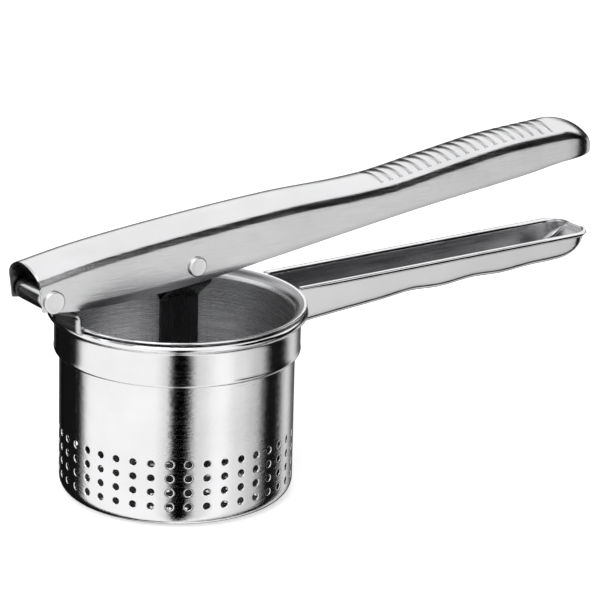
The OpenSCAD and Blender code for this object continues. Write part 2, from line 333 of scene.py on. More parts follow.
def steel(name, colour, roughness, directions, streak, wear, shade=None):
    """Stainless steel.

    directions holds (kind, scale, strength) rows of fine brushing, streak is how far the roughness
    strays along it, wear is how much the smudges darken the steel, and shade is (low z, high z,
    share of light left) of painted shade that darkens the colour towards the bottom and fades out
    as it rises, in metres."""
    mat = bpy.data.materials.new(name)
    mat.use_nodes = True
    nodes, links = mat.node_tree.nodes, mat.node_tree.links
    nodes.clear()
    out = nodes.new("ShaderNodeOutputMaterial")
    shader = add_node(nodes, "ShaderNodeBsdfPrincipled", Metallic=1)
    links.new(shader.outputs[0], out.inputs[0])
    coords = nodes.new("ShaderNodeTexCoord").outputs["Object"]
    normal, brushing = add_brushing(nodes, links, coords, directions)
    links.new(normal, shader.inputs["Normal"])
    spread = add_node(nodes, "ShaderNodeMapRange", From_Min=0.3, From_Max=0.7,
                      To_Min=roughness - streak, To_Max=roughness + streak)
    links.new(brushing, spread.inputs["Value"])
    links.new(spread.outputs["Result"], shader.inputs["Roughness"])
    smudge = add_node(nodes, "ShaderNodeTexNoise", Scale=SMUDGE_SCALE, Detail=4)
    links.new(coords, smudge.inputs["Vector"])
    ramp = add_node(nodes, "ShaderNodeMapRange", From_Min=0.35, From_Max=0.7, To_Min=1, To_Max=1 - wear)
    links.new(smudge.outputs["Fac"], ramp.inputs["Value"])
    tint = scaled(nodes, links, colour, ramp.outputs["Result"])
    # Painted shade: the colour darkens towards the bottom, up to the high height.
    if shade:
        low, high, left = shade
        split = nodes.new("ShaderNodeSeparateXYZ")
        links.new(coords, split.inputs[0])
        painted_shade = add_node(nodes, "ShaderNodeMapRange", From_Min=low, From_Max=high, To_Min=left)
        painted_shade.interpolation_type = "SMOOTHSTEP"
        links.new(split.outputs["Z"], painted_shade.inputs["Value"])
        tint = scaled(nodes, links, tint, painted_shade.outputs["Result"])
    links.new(tint, shader.inputs["Base Color"])
    return mat


# Depth of the brushing in metres, and smudges per metre
BRUSH_DEPTH = 0.0001
SMUDGE_SCALE = 45
# Noise cells per radian and per metre of height, for each unit of a brushing's scale
ROUND_STRETCH = {"round": (0.0005, 1), "patchy": (0.006, 0.8), "drawn": (1, 0.15)}
# Length of a straight brush line, as a multiple of its width
LINE_LENGTH = 40


def brushing_space(nodes, links, vector, kind, scale):
    """Coordinates in which noise is drawn out into brush lines.

    'round' runs the lines round the Z axis, 'patchy' breaks them into short patches, 'drawn' runs
    them up the wall, and the others run along the axis they name."""
    if kind in ROUND_STRETCH:
        split = nodes.new("ShaderNodeSeparateXYZ")
        links.new(vector, split.inputs[0])
        radius = nodes.new("ShaderNodeVectorMath")
        radius.operation = "LENGTH"
        flat = nodes.new("ShaderNodeCombineXYZ")
        links.new(split.outputs["X"], flat.inputs["X"])
        links.new(split.outputs["Y"], flat.inputs["Y"])
        links.new(flat.outputs[0], radius.inputs[0])
        angle = nodes.new("ShaderNodeMath")
        angle.operation = "ARCTAN2"
        links.new(split.outputs["Y"], angle.inputs[0])
        links.new(split.outputs["X"], angle.inputs[1])
        joined = nodes.new("ShaderNodeCombineXYZ")
        links.new(radius.outputs["Value"], joined.inputs["X"])
        links.new(angle.outputs[0], joined.inputs["Y"])
        links.new(split.outputs["Z"], joined.inputs["Z"])
        vector = joined.outputs[0]
        along, up = ROUND_STRETCH[kind]
        stretch = (0, along * scale, up * scale)
    else:
        low = scale / LINE_LENGTH
        stretch = {"x": (low, scale, scale), "y": (scale, low, scale), "z": (scale, scale, low)}[kind]
    mapping = nodes.new("ShaderNodeMapping")
    mapping.inputs["Scale"].default_value = stretch
    links.new(vector, mapping.inputs["Vector"])
    return mapping.outputs["Vector"]


def make_materials():
    bright = (0.87, 0.87, 0.88)
    return {
        "basket": steel("basket_steel", bright, 0.1, [("round", 2600, 0.45), ("patchy", 2200, 0.6)],
                        streak=0.05, wear=0.08),
        # Inside: brushed steel with painted shade that darkens it towards the bottom.
        "basket_inside": steel("basket_inside_steel", (0.78, 0.78, 0.79), 0.26,
                               [("round", 1800, 0.7), ("drawn", 55, 1.0)], streak=0.08, wear=0.1,
                               shade=(0.01, 0.045, 0.2)),
        "ring": steel("ring_steel", bright, 0.11, [("round", 2600, 0.4), ("patchy", 2200, 0.4)],
                      streak=0.05, wear=0.08),
        # Darker steel on the inward face of the lip's flare: painted shade.
        "lip": steel("lip_painted_shade_steel", (0.42, 0.42, 0.43), 0.26, [("round", 2200, 0.7)],
                     streak=0.08, wear=0.12),
        "lever": steel("lever_steel", (0.78, 0.78, 0.79), 0.17,
                       [("x", 2600, 0.35), ("z", 900, 0.1)], streak=0.06, wear=0.08),
        # Near-black steel in the lever's channel and on cut ends, also used on the knuckle's ends: painted
        # shade.
        "channel_painted_shade": steel("channel_painted_shade_steel", (0.12, 0.12, 0.125), 0.34, [("x", 1800, 0.5)],
                              streak=0.08, wear=0.15),
        "trough": steel("trough_steel", bright, 0.13, [("x", 2400, 0.3)], streak=0.05, wear=0.06),
        # Darker steel in the trough's hollow: painted shade.
        "trough_painted_shade": steel("trough_painted_shade_steel", (0.5, 0.5, 0.51), 0.2, [("x", 1800, 0.5)],
                               streak=0.07, wear=0.1),
        "bracket": steel("bracket_steel", (0.75, 0.75, 0.76), 0.2, [("y", 1800, 0.4)],
                         streak=0.06, wear=0.08),
        "rivet": steel("rivet_steel", (0.87, 0.87, 0.87), 0.2, [("x", 1500, 0.12), ("z", 1500, 0.12)],
                       streak=0.05, wear=0.05),
        # Near-black stem straps: painted shade.
        "plunger": steel("plunger_steel", (0.1, 0.1, 0.105), 0.25, [("z", 1800, 0.3)],
                         streak=0.07, wear=0.1),
        "plate": steel("plate_steel", (0.55, 0.55, 0.56), 0.2, [("round", 1800, 0.5)],
                       streak=0.06, wear=0.1),
    }


def finish_piece(obj, body, node, materials, pick=None):
    """Materials, body and CAD node of a piece.

    pick gives a face's material index from its centre in millimetres and its normal."""
    for mat in materials:
        obj.data.materials.append(mat)
    if pick:
        for face in obj.data.polygons:
            face.material_index = pick([c / MM for c in face.center], face.normal)
    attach(obj, body)
    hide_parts(node)


# ---------------------------------------------------------------- basket
# Places along a side of a hole's square cell, from -1 towards 1, that lie 15 degrees apart round the hole
CELL_STEP = 15
CELL_SIDE = [math.tan(math.radians(CELL_STEP * k)) for k in range(-3, 3)]


def basket_angles():
    """Angles of the wall's vertical edges, closest together beside each column of holes."""
    half = math.pi / HOLE_COLUMNS
    return [2 * half * c + half * t for c in range(HOLE_COLUMNS) for t in CELL_SIDE]


def cell_rings(outside):
    """Rings of a punched hole's cell, as (radius, depth below the surface); None is the cell's border."""
    if outside:
        return [(None, 0), (2.1, 0), (1.58, 0), (1.47, 0.015), (1.39, 0.07), (1.33, 0.15), (HOLE_R, 0.26),
                (HOLE_R, BASKET_WALL - 0.06)]
    return [(None, 0), (2.15, 0), (1.6, 0), (1.45, -0.02), (1.36, 0), (HOLE_R, 0.06)]


def hole_cell(angle, z, surface_r, rings, inward):
    """Vertices and faces round one hole. inward is +1 on the outer surface and -1 on the inner one."""
    verts = []
    half_u = math.pi / HOLE_COLUMNS * BASKET_R
    half_v = HOLE_PITCH / 2
    border = ([(1, t) for t in CELL_SIDE] + [(-t, 1) for t in CELL_SIDE]
              + [(-1, -t) for t in CELL_SIDE] + [(t, -1) for t in CELL_SIDE])
    for radius, depth in rings:
        for i, (bu, bv) in enumerate(border):
            if radius is None:
                u, v = bu * half_u, bv * half_v
            else:
                a = math.radians(CELL_STEP * i - 45)
                u, v = radius * math.cos(a), radius * math.sin(a)
            r = surface_r - depth * inward
            a = angle + u / BASKET_R
            verts.append((r * math.cos(a), r * math.sin(a), z + v))
    return verts, grid_faces(len(rings), len(border))


def basket_floor(z, outline_r, angles):
    """Flat floor between the outline and the holes: vertices, faces and where the holes' points start."""
    loops = [[Vector((outline_r * math.cos(a), outline_r * math.sin(a), z)) for a in angles]]
    for ring_r, count in FLOOR_RINGS:
        for i in range(count):
            c = 2 * math.pi * i / count
            cx, cy = ring_r * math.cos(c), ring_r * math.sin(c)
            loops.append([Vector((cx + HOLE_R * math.cos(a), cy + HOLE_R * math.sin(a), z))
                          for a in full_turn(HOLE_SIDES)])
    verts = [tuple(p) for loop in loops for p in loop]
    faces = [tuple(f) for f in tessellate_polygon(loops)]
    return verts, faces, len(angles)


def make_basket():
    """Perforated cup: a band of hole cells, plain walls below and above it, the lip and the floor."""
    angles = basket_angles()
    verts, faces = [], []

    def add(new_verts, new_faces):
        base = len(verts)
        verts.extend(new_verts)
        faces.extend(tuple(base + i for i in f) for f in new_faces)

    inner_r = BASKET_R - BASKET_WALL
    band_low = HOLE_FIRST_Z - HOLE_PITCH / 2
    band_high = band_low + HOLE_ROWS * HOLE_PITCH
    for c in range(HOLE_COLUMNS):
        for k in range(HOLE_ROWS):
            a, z = 2 * math.pi * c / HOLE_COLUMNS, HOLE_FIRST_Z + k * HOLE_PITCH
            add(*hole_cell(a, z, BASKET_R, cell_rings(True), 1))
            add(*hole_cell(a, z, inner_r, cell_rings(False), -1))
    lip_c = (BASKET_R + LIP_BEND_R, LIP_Z - BASKET_WALL - LIP_BEND_R)
    corner = BASKET_CORNER_R
    below = arc(BASKET_R - corner, corner, corner, -90, 0, 10) + [(BASKET_R, band_low)]
    inside_below = (arc(BASKET_R - corner, corner, corner - BASKET_WALL, -90, 0, 10)
                    + [(inner_r, band_low)])
    wall_rows = (band_high, *WALL_ROWS, lip_c[1] - 1)
    edge = arc(LIP_R - 0.3, LIP_Z - 0.4, 0.3, -90, 90, 6)
    above = ([(BASKET_R, z) for z in wall_rows] + arc(*lip_c, LIP_BEND_R, 180, 92, 14) + edge
             + arc(*lip_c, LIP_BEND_R + BASKET_WALL, 88, 180, 16)
             + [(inner_r, z) for z in wall_rows[::-1]])
    for profile in (below, inside_below, above):
        rows = [[(r * math.cos(a), r * math.sin(a), z) for a in angles] for r, z in profile]
        add([p for row in rows for p in row], grid_faces(len(profile), len(angles)))
    low_verts, low_faces, start = basket_floor(0, BASKET_R - corner, angles)
    high_verts, high_faces, _ = basket_floor(BASKET_WALL, BASKET_R - corner, angles)
    add(low_verts, low_faces)
    add(high_verts, high_faces)
    for first in range(start, len(low_verts), HOLE_SIDES):
        one_hole = slice(first, first + HOLE_SIDES)
        add(low_verts[one_hole] + high_verts[one_hole], grid_faces(2, HOLE_SIDES))
    obj = make_object("ricer_basket", verts, faces)
    cut_notch(obj)
    return obj


def cut_notch(obj):
    """Takes the lip away beside the hinge bracket."""
    bm = bmesh.new()
    bm.from_mesh(obj.data)
    planes = [((0, NOTCH_HALF * MM, 0), (0, 1, 0)), ((0, -NOTCH_HALF * MM, 0), (0, 1, 0)),
              ((NOTCH_X * MM, 0, 0), (1, 0, 0))]
    bend_z = (LIP_Z - LIP_BEND_R - BASKET_WALL) * MM

    def in_reach(face):
        c = face.calc_center_median()
        return c.z > bend_z and c.x < 0 and abs(c.y) < (NOTCH_HALF + NOTCH_REACH) * MM

    for point, normal in planes:
        faces = [f for f in bm.faces if in_reach(f)]
        edges = {e for f in faces for e in f.edges}
        verts = {v for f in faces for v in f.verts}
        bmesh.ops.bisect_plane(bm, geom=[*faces, *edges, *verts], plane_co=point, plane_no=normal,
                               dist=1e-7)
    gone = [f for f in bm.faces if in_reach(f) and abs(f.calc_center_median().y) < NOTCH_HALF * MM
            and f.calc_center_median().x < NOTCH_X * MM]
    bmesh.ops.delete(bm, geom=gone, context="FACES")
    rim = [e for e in bm.edges if e.is_boundary]
    bmesh.ops.holes_fill(bm, edges=rim, sides=0)
    bmesh.ops.recalc_face_normals(bm, faces=bm.faces)
    bm.to_mesh(obj.data)
    bm.free()
    obj.data.set_sharp_from_angle(angle=math.radians(35))


def basket_side(centre, normal):
    """0 on the polished outside, 1 on the brushed inside, 2 on the flare that leads to the lip;
    1 carries painted shade towards the bottom, and 2 is painted darker as shade.
    """
    r = math.hypot(centre[0], centre[1])
    facing = (normal[0] * centre[0] + normal[1] * centre[1]) / max(r, 0.01)
    if r < BASKET_R - 0.16 and facing < 0.2 and centre[2] > 0.3:
        return 1
    if facing < -0.12 and centre[2] > LIP_Z - 6:
        return 2
    return 0


# ---------------------------------------------------------------- holder ring
def make_ring():
    """Collar with a rounded lower edge, a flare and a rolled flange."""
    low = BAND_LOW_Z
    top = BAND_TOP_Z
    inner = BAND_R - BAND_WALL
    bead_r = BAND_R - BEAD_R + 0.15
    profile = ([(inner, low + 0.2), (inner + 0.2, low)]
               + arc(bead_r, low + BEAD_R, BEAD_R, -90, 20, 10)
               + [(BAND_R + 0.02, low + 2.2), (BAND_R, low + 2.8), (BAND_R, low + 3.4),
                  (BAND_R, FLARE_Z - 5), (BAND_R, FLARE_Z - 0.8)]
               + arc(BAND_R + FLARE_R, FLARE_Z, FLARE_R, 180, 120, 3)
               + arc(FLANGE_R - FLANGE_EDGE_R, top - FLANGE_EDGE_R, FLANGE_EDGE_R, -62, 90, 12)
               + [(inner + 0.8, top), (inner, top - 0.7)])
    return revolved("ricer_holder_ring", profile, full_turn(288))


# ---------------------------------------------------------------- lever
def nose(x, end, power=2):
    """Share of the full size that the lever's grip has at x, where it rounds off."""
    if x <= LEVER_NOSE_X:
        return 1
    return max(1 - ((x - LEVER_NOSE_X) / (end - LEVER_NOSE_X)) ** power, 0) ** (1 / power)


def rib(x, side):
    """How far a grip rib lowers the crown at x. side runs from 0 at the top to 1 at the shoulder."""
    s = (x - RIB_X0) / RIB_PITCH
    if s < 0 or s >= RIBS:
        return 0
    fade = 1 - smooth_step(0.6, 0.95, side)
    ends = smooth_step(0, 1.5, s) * (1 - smooth_step(RIBS - 1.5, RIBS, s))
    return RIB_DEPTH * (s % 1) ** RIB_POWER * fade * ends


def lever_half(x, inset):
    """Half of the lever's section from the bottom edge to the crown as (y, z), with its top, bottom
    and half width."""
    end = LEVER_X1 + 0.5 - inset
    e = nose(x, end)
    w = max((LEVER_HALF - inset) * nose(x, end, LEVER_NOSE_WIDTH_POWER), 0.3)
    zb = curve(LEVER_BOTTOM, x)
    zt = max(LEVER_NOSE_Z + (curve(LEVER_TOP, x) - inset - LEVER_NOSE_Z) * e, zb + 0.7)
    crown = min(curve(LEVER_CROWN, x) * max(e, 0.2), (zt - zb) / 2, w / 2)
    big = (w ** 2 + crown ** 2) / (2 * crown)
    f = min(SHOULDER_R, w * 0.4, crown * 1.6)
    # The fillet's centre lies f inside the wall and inside the crown's arc.
    fy = w - f
    fz = zt - big + math.sqrt(max((big - f) ** 2 - fy ** 2, 0))
    turn = math.atan2(fy, fz - (zt - big))
    edge_z = zb + LEVER_EDGE
    points = [(w, edge_z + (fz - edge_z) * k / 5) for k in range(5)]
    points += [(fy + f * math.cos(a), fz + f * math.sin(a))
               for a in [(math.pi / 2 - turn) * k / 6 for k in range(7)]]
    start = fy + f * math.cos(math.pi / 2 - turn)
    for k in range(1, 15):
        y = start * (1 - k / 15)
        drop = 0 if inset else rib(x, y / w)
        points.append((y, zt - big + math.sqrt(big ** 2 - y ** 2) - drop))
    top = zt - (0 if inset else rib(x, 0))
    return points, top, zb, w


def lever_loop(x, squeeze=0.0, solid=False):
    """Closed section of the lever's sheet at x. squeeze draws its two surfaces together, and a solid
    section has a flat underside instead of the channel."""
    outer, top, zb, w = lever_half(x, 0)
    if solid:
        y_in = max(w - LEVER_WALL, w * 0.5)
        n = len(outer)
        inner = [(y_in * (1 - k / n), zb) for k in range(n)]
        inner_top = zb
        inner_edge = inner[0]
    else:
        inner, inner_top, _, _ = lever_half(x, LEVER_WALL)
        inner_edge = (inner[0][0] + 0.1, zb + 0.09)
    half_out = [(w - 0.1, zb + 0.09)] + outer
    half_in = [inner_edge] + inner
    if squeeze:
        half_out, half_in = ([mix(p, q, squeeze) for p, q in zip(half_out, half_in)],
                             [mix(q, p, squeeze) for p, q in zip(half_out, half_in)])
        top, inner_top = top + (inner_top - top) * squeeze, inner_top + (top - inner_top) * squeeze
    out_line = [(-y, z) for y, z in half_out] + [(0, top)] + half_out[::-1]
    in_line = half_in + [(0, inner_top)] + [(-y, z) for y, z in half_in[::-1]]
    lean = LEVER_LEAN * (1 - smooth_step(LEVER_X0, LEVER_X0 + LEVER_LEAN_LENGTH, x))
    return [(x + lean * max(0, (top - z) / max(top - zb, 1)), y, z) for y, z in out_line + in_line]


def lever_stations():
    """Places along the lever of its channel sections and of its solid sections."""
    xs = [LEVER_X0 + d for d in (0.3, 0.4, 0.6, 3, 7)]
    x = LEVER_X0 + 12
    while x < RIB_X0 - 1:
        xs.append(x)
        x += 4
    for k in range(RIBS):
        for t in (0.001, 0.2, 0.4, 0.6, 0.76, 0.88, 0.96):
            xs.append(RIB_X0 + (k + t) * RIB_PITCH)
    end = LEVER_X1
    xs += [x for x in (169, 170.5, 172, 173.5, 175, 176.4, 177.7, 178.9, 180, 181, 181.9, 182.7, 183.2)
           if x > xs[-1]]
    solid = [end - d for d in (2.3, 1.7, 1.1, 0.6, 0.25, 0.05)]
    return xs, solid


def make_lever():
    """Inverted channel with a crowned, ribbed grip whose end rounds off."""
    xs, solid = lever_stations()
    loops = [lever_loop(LEVER_X0, squeeze=0.28)]
    loops += [lever_loop(x) for x in xs]
    loops += [lever_loop(x, solid=True) for x in solid]
    verts, faces = loft(loops)
    return make_object("ricer_lever", verts, faces, sharp=50)


def lever_side(centre, normal):
    """0 outside, 1 in the channel and on the walls' cut ends, painted near black as shade."""
    x, y, z = centre
    _, top, zb, w = lever_half(x, 0)
    inside_wall = abs(y) < w - LEVER_WALL * 0.6 and normal[1] * y < -0.01 * abs(y)
    under_crown = normal[2] < -0.3 and abs(y) < w - 0.4 and z > zb + 1
    open_end = normal[0] < -0.25 and x < LEVER_X0 + 1 and abs(y) > w - 1.4 and z < top - 4
    return 1 if inside_wall or under_crown or open_end else 0


# ---------------------------------------------------------------- lower handle
def bow(x):
    """Share of its full width that the trough has at x; its end rounds off in plan."""
    past = max(x - TROUGH_X1 - 0.4 + BOW_LENGTH, 0) / BOW_LENGTH
    return (1 - min(past, 0.999) ** BOW_POWER) ** (1 / BOW_POWER)


def trough_path(x):
    """Middle line of the trough's sheet at x, as (y, z) from one flange's edge to the other."""
    t = TROUGH_WALL
    top = TROUGH_TOP_Z - t / 2
    bottom = min(curve(TROUGH_BOTTOM, x) + t / 2, top - 0.15)
    depth = top - bottom
    curl = smooth_step(44, 60, x) * (1 - smooth_step(TROUGH_X1 - 9, TROUGH_X1 - 3, x))
    edge_y = TROUGH_HALF - t / 2
    wall_y = edge_y - TROUGH_FLANGE
    narrow = bow(x)
    f = min(TROUGH_FLOOR_R, depth * 0.48)
    g = min(TROUGH_FLANGE_R, depth * 0.45)
    half = [(edge_y, top - 0.55 * curl), (edge_y - 0.05, top - 0.28 * curl),
            (edge_y - 0.2, top - 0.08 * curl), (edge_y - 0.45, top), (wall_y + 1.2, top)]
    half += [(wall_y + g - g * math.sin(a), top - g + g * math.cos(a)) for a in quarter(6)]
    slope = TROUGH_LEAN / max(depth, 0.5)
    for k in range(1, 4):
        z = top - g - (depth - g - f) * k / 4
        half.append((wall_y - slope * (top - g - z) * 0.5, z))
    floor_y = wall_y - slope * (depth - g - f) * 0.5
    half += [(floor_y - f * (1 - math.cos(a)), bottom + f - f * math.sin(a)) for a in quarter(6)]
    end_y = half[-1][0]
    half += [(end_y * k, bottom) for k in (0.66, 0.33)]
    half = [(y * narrow, z) for y, z in half]
    return half + [(0, bottom)] + [(-y, z) for y, z in half[::-1]]


def trough_loop(x, drop=0.0, shrink=1.0):
    """Closed section of the trough's sheet at x, lowered by drop and thinned by shrink."""
    loop = thicken(trough_path(x), TROUGH_WALL * shrink)
    return [(x, y, z - drop) for y, z in loop]


def trough_start_loop():
    """Section bent to the ring's round wall and flange, where the trough is welded on."""
    out = []
    for _, y, z in trough_loop(TROUGH_START_X):
        r = FLANGE_R + 0.25 if z > BAND_TOP_Z - 5 else BAND_R + WELD_GAP
        out.append((math.sqrt(r ** 2 - y ** 2), y, z))
    return out


def make_trough():
    """Pressed trough with a finger wave underneath and a bow at its end."""
    xs = [TROUGH_START_X + 2 + 2.5 * k for k in range(43)] + [160 + 1.5 * k for k in range(11)]
    xs += [TROUGH_X1 - d for d in (7.4, 6.2, 5.1, 4.1, 3.2, 2.4, 1.7, 1.1, 0.7, 0.35)]
    xs.sort()
    loops = [trough_start_loop()]
    loops += [trough_loop(x) for x in xs]
    loops.append(trough_loop(TROUGH_X1 - 0.05, 0.1, 0.6))
    verts, faces = loft(loops)
    return make_object("ricer_lower_handle", verts, faces, sharp=50)


def trough_side(centre, normal):
    """0 outside and on the flange, 1 in the hollow, painted darker as shade."""
    x, y, z = centre
    hollow = abs(y) < (TROUGH_HALF - 2.5) * bow(x) and (normal[2] > 0.4 or normal[1] * y < 0)
    return 1 if hollow and z < TROUGH_TOP_Z - (1.3 if x < TROUGH_X1 - 9 else 0.3) else 0


# ---------------------------------------------------------------- hinge bracket
def extrude_strip(outline, low, high, bevel=0.25):
    """Prism along Y, between low and high, of a closed (x, z) outline with eased ends."""
    n = len(outline)
    inner = []
    for i, p in enumerate(outline):
        q = outline[n - 1 - i]
        d = math.hypot(q[0] - p[0], q[1] - p[1])
        inner.append(mix(p, q, min(bevel / max(d, 1e-3), 0.4)))
    eased = [mix(p, q, 0.35) for p, q in zip(outline, inner)]
    steps = 6
    straight = (high - low - 2 * bevel) / steps
    levels = [(low, inner), (low + bevel * 0.3, eased)]
    levels += [(low + bevel + straight * k, outline) for k in range(steps)]
    levels += [(high - bevel, outline), (high - bevel * 0.3, eased), (high, inner)]
    return loft([[(x, y, z) for x, z in line] for y, line in levels])


def make_bracket():
    """Strap that stands on the ring, bends over and curls round the hinge rivet."""
    dx, dz = HINGE_X - POST_X, HINGE_Z - BEND_Z
    rise = math.atan2(dz, dx) + math.asin(KNUCKLE_R / math.hypot(dx, dz))
    ux, uz = math.cos(rise), math.sin(rise)
    path = [(POST_X, BAND_TOP_Z - 0.1), (POST_X, 70.5), (POST_X, 72)]
    path += [(POST_X + BEND_CUT * k * k * ux, BEND_Z + BEND_CUT * (k * k * uz - (1 - k) ** 2))
             for k in [i / 8 for i in range(9)]]
    start = rise + math.pi / 2
    path += [(HINGE_X + KNUCKLE_R * math.cos(start) - 4 * ux,
              HINGE_Z + KNUCKLE_R * math.sin(start) - 4 * uz)]
    path += arc(HINGE_X, HINGE_Z, KNUCKLE_R, math.degrees(start), math.degrees(start) - 300, 40)
    verts, faces = extrude_strip(thicken(path, BRACKET_WALL), -BRACKET_HALF, BRACKET_HALF)
    return make_object("ricer_hinge_bracket", verts, faces, sharp=40)


def bracket_side(centre, normal):
    """0 on the strap, 1 on the cut ends of the knuckle, painted near black as shade."""
    return 1 if abs(normal[1]) > 0.7 and centre[0] < POST_X - 1.6 and centre[2] > BEND_Z + 0.6 else 0


# ---------------------------------------------------------------- rivets and spacer
def turned_across(profile, x, z):
    """Points of (r, y) rows turned about the line along Y through x and z."""
    turn = full_turn(ROUND_SIDES)
    return [(x + r * math.cos(a), y, z + r * math.sin(a)) for r, y in profile for a in turn]


def make_rivet(name, x, z, shank_r, head_r):
    """Rivet across the lever: flat heads with a rolled rim and a faint dish."""
    face = LEVER_HALF
    h = HEAD_H
    edge = HEAD_EDGE_R
    half = [(shank_r, 0), (shank_r, face), (head_r - 0.12, face + 0.02), (head_r, face + 0.16),
            (head_r, face + 0.55)]
    half += [(head_r - edge + edge * math.cos(a), face + h - edge + edge * math.sin(a)) for a in quarter(5)]
    half += [(head_r - 0.8, face + h), (head_r - 1.2, face + h - 0.04), (head_r * 0.4, face + h - 0.06),
             (0.02, face + h - 0.06)]
    profile = [(r, -y) for r, y in half[::-1]][:-1] + half
    verts = turned_across(profile, x, z)
    faces = grid_faces(len(profile), ROUND_SIDES)
    faces += [tuple(range(ROUND_SIDES)), tuple(range(len(verts) - ROUND_SIDES, len(verts)))]
    return make_object(name, verts, faces)


def make_spacer():
    """Tube on the plunger's rivet, between the two ears."""
    end = EAR_Y - STEM_WALL - 0.01
    r, bore, edge = SPACER_R, SPACER_BORE_R, SPACER_EDGE
    profile = [(bore, -end + edge), (bore + edge, -end), (r - edge, -end), (r, -end + edge), (r, 0),
               (r, end - edge), (r - edge, end), (bore + edge, end), (bore, end - edge)]
    return make_object("ricer_stem_spacer", turned_across(profile, PLUNGER_X, PLUNGER_Z),
                       grid_faces(len(profile), ROUND_SIDES, close=True))


# ---------------------------------------------------------------- plunger
def fillet(points, radius, n=5):
    """Path through the points with its inner corners rounded."""
    out = [points[0]]
    for a, b, c in zip(points, points[1:], points[2:]):
        va, vc = Vector(a) - Vector(b), Vector(c) - Vector(b)
        cut = min(radius, va.length * 0.45, vc.length * 0.45)
        p, q = Vector(b) + va.normalized() * cut, Vector(b) + vc.normalized() * cut
        for k in range(n + 1):
            t = k / n
            out.append(tuple((1 - t) ** 2 * p + 2 * t * (1 - t) * Vector(b) + t ** 2 * q))
    return out + [points[-1]]


def make_strap(name, side):
    """One strap of the stem: foot, upright, fork and ear with a round top."""
    t = STEM_WALL
    foot_z = PLATE_RIM_Z - PLATE_DEPTH + PLATE_WALL + t / 2
    centre_x = PLUNGER_X - 0.5
    fork_top = FORK_Z + FORK_H
    ear_y = EAR_Y - t / 2
    path = fillet([(FOOT_Y - t, foot_z), (t / 2, foot_z), (t / 2, FORK_Z - 0.2), (ear_y, fork_top - 0.2),
                   (ear_y, PLUNGER_Z - 1)], STRAP_BEND_R)
    path += [(ear_y, PLUNGER_Z - 1 + (STEM_HALF + 0.6) * math.sin(a)) for a in quarter(10)[1:]]
    outline = thicken(path, t)

    def reach(z):
        """Half width of the strap at height z: straight, then round over the rivet."""
        up = max(z - PLUNGER_Z, 0)
        return math.sqrt(max(STEM_HALF ** 2 - up ** 2, 0.04))

    def place(a, b, h):
        """Point of the outline at the share h of the strap's half width."""
        x = centre_x + h * reach(min(b, PLUNGER_Z + STEM_HALF - 0.02))
        return (x, side * a, min(b, PLUNGER_Z + STEM_HALF))

    loops = []
    for h in (-1, -0.985, -0.95, -0.6, -0.2, 0.2, 0.6, 0.95, 0.985, 1):
        squeeze = {1: 0.28, 0.985: 0.08}.get(abs(h), 0)
        line = [mix(p, q, squeeze) for p, q in zip(outline, outline[::-1])]
        loops.append([place(a, b, h) for a, b in line])
    verts, faces = loft(loops)
    return make_object(name, verts, faces, sharp=45)


def make_plate():
    """Pressing dish: flat floor with a pressed ring, flared side and rolled rim."""
    rim_z = PLATE_RIM_Z
    low = rim_z - PLATE_DEPTH
    t = PLATE_WALL
    corner = (PLATE_FLOOR_R - 3, low + PLATE_CORNER_R)
    floor = [(0.02, 0), (9, 0), (16, 0), (17, 0.4), (18.5, 0.4), (19.5, 0)]
    under = [(r, low + h) for r, h in floor] + arc(*corner, PLATE_CORNER_R, -90, -30, 6)
    under += [(PLATE_R - 3.5, rim_z - 3.6), (PLATE_R - 0.4, rim_z - 1.1)]
    over = arc(PLATE_R - 1, rim_z, 1, -40, 170, 12)
    over += [(PLATE_R - 2.6, rim_z - 1.2), (PLATE_R - 4.2, rim_z - 3)]
    over += arc(*corner, PLATE_CORNER_R - t, -30, -90, 6) + [(r, low + t + h) for r, h in floor[::-1]]
    return revolved("ricer_pusher_plate", under + over, full_turn(160), PLATE_X)


# ---------------------------------------------------------------- studio
AIM = Vector((0.053737, 0, 0.061833))
VIEW_AZIMUTH = math.radians(-35.44)
VIEW_ELEVATION = math.radians(18.37)
VIEW_ROLL = math.radians(1.5)
VIEW_DISTANCE = 1.2523
LENS = 204
FLOOR_HALF = 30
FLOOR_Z = -0.0004
SKY_STRENGTH = 1.08


def make_camera():
    """Long lens on the aim point, from the azimuth measured from -Y towards +X."""
    data = bpy.data.cameras.new("camera")
    data.lens = LENS
    data.clip_start = 0.05
    data.clip_end = 100
    camera = bpy.data.objects.new("camera", data)
    bpy.context.scene.collection.objects.link(camera)
    back = Vector((math.sin(VIEW_AZIMUTH) * math.cos(VIEW_ELEVATION),
                   -math.cos(VIEW_AZIMUTH) * math.cos(VIEW_ELEVATION), math.sin(VIEW_ELEVATION)))
    right = Vector((math.cos(VIEW_AZIMUTH), math.sin(VIEW_AZIMUTH), 0))
    up = back.cross(right)
    right, up = (right * math.cos(VIEW_ROLL) + up * math.sin(VIEW_ROLL),
                 up * math.cos(VIEW_ROLL) - right * math.sin(VIEW_ROLL))
    turn = Matrix((right, up, back)).transposed()
    camera.matrix_world = Matrix.Translation(AIM + back * VIEW_DISTANCE) @ turn.to_4x4()
    bpy.context.scene.camera = camera


def make_floor():
    """Plain pale floor just under the part, which the steel doesn't reflect."""
    half = FLOOR_HALF
    verts = [(-half, -half, 0), (half, -half, 0), (half, half, 0), (-half, half, 0)]
    mesh = bpy.data.meshes.new("floor")
    mesh.from_pydata(verts, [], [(0, 1, 2, 3)])
    floor = bpy.data.objects.new("floor", mesh)
    floor.location.z = FLOOR_Z
    bpy.context.scene.collection.objects.link(floor)
    mat = bpy.data.materials.new("floor_white")
    mat.use_nodes = True
    shader = mat.node_tree.nodes["Principled BSDF"]
    shader.inputs["Base Color"].default_value = (0.9, 0.9, 0.9, 1)
    shader.inputs["Roughness"].default_value = 0.9
    shader.inputs["Emission Color"].default_value = (1, 1, 1, 1)
    shader.inputs["Emission Strength"].default_value = 0.45
    mesh.materials.append(mat)
    floor.visible_glossy = False


